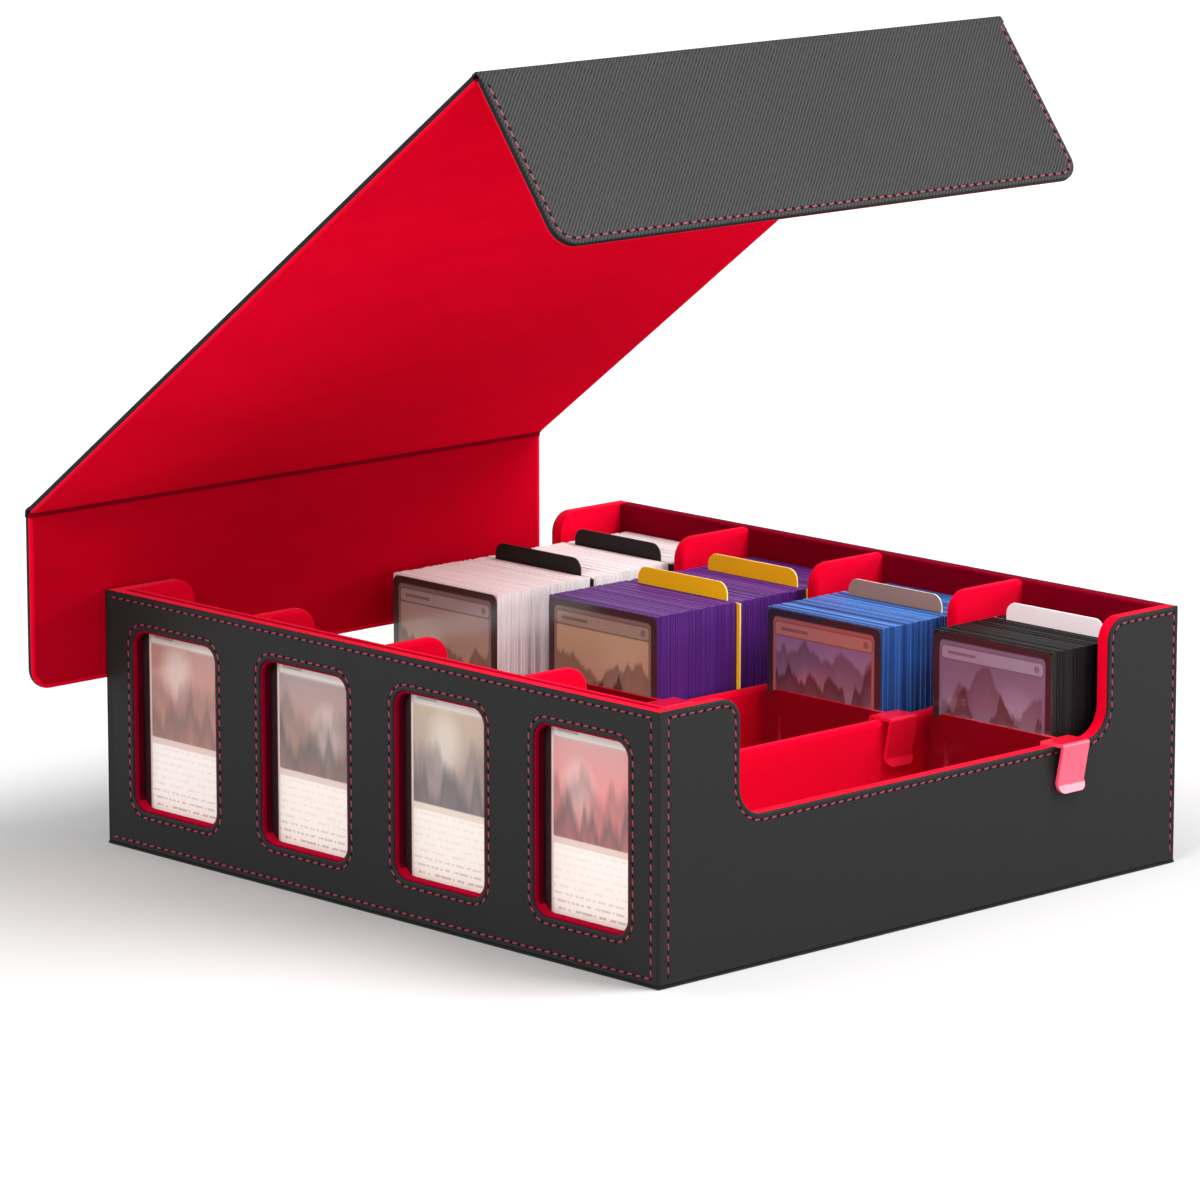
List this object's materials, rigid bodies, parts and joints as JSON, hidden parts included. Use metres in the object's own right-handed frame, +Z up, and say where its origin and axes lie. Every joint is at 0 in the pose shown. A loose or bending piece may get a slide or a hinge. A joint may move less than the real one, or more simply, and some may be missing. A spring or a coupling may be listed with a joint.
{
  "type": "trading card storage box",
  "caption": "Leather-covered storage box with rows for sleeved trading cards, display windows in the front wall, clip-on dividers and a folding lift-off cover held by magnets.",
  "frame": {"origin": "middle of the case's base, on the surface that it stands on", "axes": "+Z up, +X to the right along the front wall with the display windows, +Y from the front wall to the back wall"},
  "size_m": [0.3262, 0.323, 0.3361],
  "materials": {
    "black_leather": "black grained synthetic leather with red stitching",
    "red_lining": "bright red short-nap microfibre over board",
    "greyboard": "grey bookbinding board",
    "magnet_steel": "nickel-plated disc magnets",
    "clear_film": "clear film glued behind the windows",
    "red_plastic": "translucent red moulded plastic",
    "card_face": null,
    "white_sleeves": "cards in white sleeves",
    "purple_sleeves": "cards in purple sleeves",
    "blue_sleeves": "cards in blue sleeves",
    "black_sleeves": "cards in black sleeves",
    "black_tab": "thin black plastic sheet",
    "yellow_tab": "thin yellow plastic sheet",
    "tan_tab": "thin tan plastic sheet",
    "white_tab": "thin white plastic sheet"
  },
  "bodies": {
    "case": {"base_leather": "black_leather", "left_wall_leather": "black_leather", "right_wall_leather": "black_leather", "back_leather": "black_leather", "front_leather": "black_leather", "floor_lining": "red_lining", "left_wall_lining": "red_lining", "right_wall_lining": "red_lining", "back_lining": "red_lining", "front_lining": "red_lining", "front_window_panel": "red_lining", "pocket_floor": "red_lining", "pocket_spacers": "red_lining", "partition_1_lining": "red_lining", "partition_2_lining": "red_lining", "partition_3_lining": "red_lining", "base_board": "greyboard", "left_wall_board": "greyboard", "right_wall_board": "greyboard", "back_board": "greyboard", "front_board": "greyboard", "partition_1_board": "greyboard", "partition_2_board": "greyboard", "partition_3_board": "greyboard", "left_wall_magnets": "magnet_steel", "right_wall_magnets": "magnet_steel", "window_panes": "clear_film"},
    "lid_left_flap": {"lid_left_flap_board": "greyboard", "lid_left_flap_leather": "black_leather", "lid_left_flap_lining": "red_lining", "lid_left_flap_magnets": "magnet_steel"},
    "lid_top": {"lid_top_board": "greyboard", "lid_top_leather": "black_leather", "lid_top_lining": "red_lining", "lid_left_fold": "black_leather", "lid_right_fold": "black_leather"},
    "lid_right_flap": {"lid_right_flap_board": "greyboard", "lid_right_flap_leather": "black_leather", "lid_right_flap_lining": "red_lining", "lid_right_flap_magnets": "magnet_steel"},
    "divider_row_2": {"divider_row_2": "red_plastic"},
    "divider_row_3": {"divider_row_3": "red_plastic"},
    "divider_row_4": {"divider_row_4": "red_plastic"},
    "display_card_1": {"display_card_1": "card_face"},
    "display_card_2": {"display_card_2": "card_face"},
    "display_card_3": {"display_card_3": "card_face"},
    "display_card_4": {"display_card_4": "card_face"},
    "card_stack_white": {"card_stack_white": "white_sleeves"},
    "card_stack_purple": {"card_stack_purple": "purple_sleeves"},
    "card_stack_blue": {"card_stack_blue": "blue_sleeves"},
    "card_stack_black": {"card_stack_black": "black_sleeves"},
    "tab_black_front": {"tab_black_front": "black_tab"},
    "tab_black_back": {"tab_black_back": "black_tab"},
    "tab_yellow_front": {"tab_yellow_front": "yellow_tab"},
    "tab_yellow_back": {"tab_yellow_back": "yellow_tab"},
    "tab_tan": {"tab_tan": "tan_tab"},
    "tab_white": {"tab_white": "white_tab"}
  },
  "joints": [
    {"name": "lid_lift_off", "type": "slide", "parent": "case", "child": "lid_left_flap", "axis": [0, 0.7782, -0.6281], "range_m": [0, 0.05397]},
    {"name": "lid_left_fold", "type": "hinge", "parent": "lid_left_flap", "child": "lid_top", "pos_m": [-0.16105, -0.042, 0.13975], "axis": [0, -1, 0], "range_deg": [-36.5, 143.5]},
    {"name": "lid_right_fold", "type": "hinge", "parent": "lid_top", "child": "lid_right_flap", "pos_m": [0.10229, -0.042, 0.33461], "axis": [0, -1, 0], "range_deg": [0, 90]},
    {"name": "divider_row_2_slide", "type": "slide", "parent": "case", "child": "divider_row_2", "axis": [0, 1, 0], "range_m": [-0.0995, 0]},
    {"name": "divider_row_3_slide", "type": "slide", "parent": "case", "child": "divider_row_3", "axis": [0, 1, 0], "range_m": [-0.1475, 0]},
    {"name": "divider_row_4_slide", "type": "slide", "parent": "case", "child": "divider_row_4", "axis": [0, 1, 0], "range_m": [-0.1595, 0]},
    {"name": "display_card_1_lift", "type": "slide", "parent": "case", "child": "display_card_1", "axis": [0, 0, 1], "range_m": [0, 0.04]},
    {"name": "display_card_2_lift", "type": "slide", "parent": "case", "child": "display_card_2", "axis": [0, 0, 1], "range_m": [0, 0.04]},
    {"name": "display_card_3_lift", "type": "slide", "parent": "case", "child": "display_card_3", "axis": [0, 0, 1], "range_m": [0, 0.04]},
    {"name": "display_card_4_lift", "type": "slide", "parent": "case", "child": "display_card_4", "axis": [0, 0, 1], "range_m": [0, 0.04]},
    {"name": "card_stack_white_lift", "type": "slide", "parent": "case", "child": "card_stack_white", "axis": [0, 0, 1], "range_m": [0, 0.04]},
    {"name": "card_stack_purple_lift", "type": "slide", "parent": "case", "child": "card_stack_purple", "axis": [0, 0, 1], "range_m": [0, 0.04]},
    {"name": "card_stack_blue_lift", "type": "slide", "parent": "case", "child": "card_stack_blue", "axis": [0, 0, 1], "range_m": [0, 0.04]},
    {"name": "card_stack_black_lift", "type": "slide", "parent": "case", "child": "card_stack_black", "axis": [0, 0, 1], "range_m": [0, 0.04]},
    {"name": "tab_black_front_lift", "type": "slide", "parent": "case", "child": "tab_black_front", "axis": [0, 0, 1], "range_m": [0, 0.04]},
    {"name": "tab_black_back_lift", "type": "slide", "parent": "case", "child": "tab_black_back", "axis": [0, 0, 1], "range_m": [0, 0.04]},
    {"name": "tab_yellow_front_lift", "type": "slide", "parent": "case", "child": "tab_yellow_front", "axis": [0, 0, 1], "range_m": [0, 0.04]},
    {"name": "tab_yellow_back_lift", "type": "slide", "parent": "case", "child": "tab_yellow_back", "axis": [0, 0, 1], "range_m": [0, 0.04]},
    {"name": "tab_tan_lift", "type": "slide", "parent": "case", "child": "tab_tan", "axis": [0, 0, 1], "range_m": [0, 0.04]},
    {"name": "tab_white_lift", "type": "slide", "parent": "case", "child": "tab_white", "axis": [0, 0, 1], "range_m": [0, 0.04]}
  ]
}
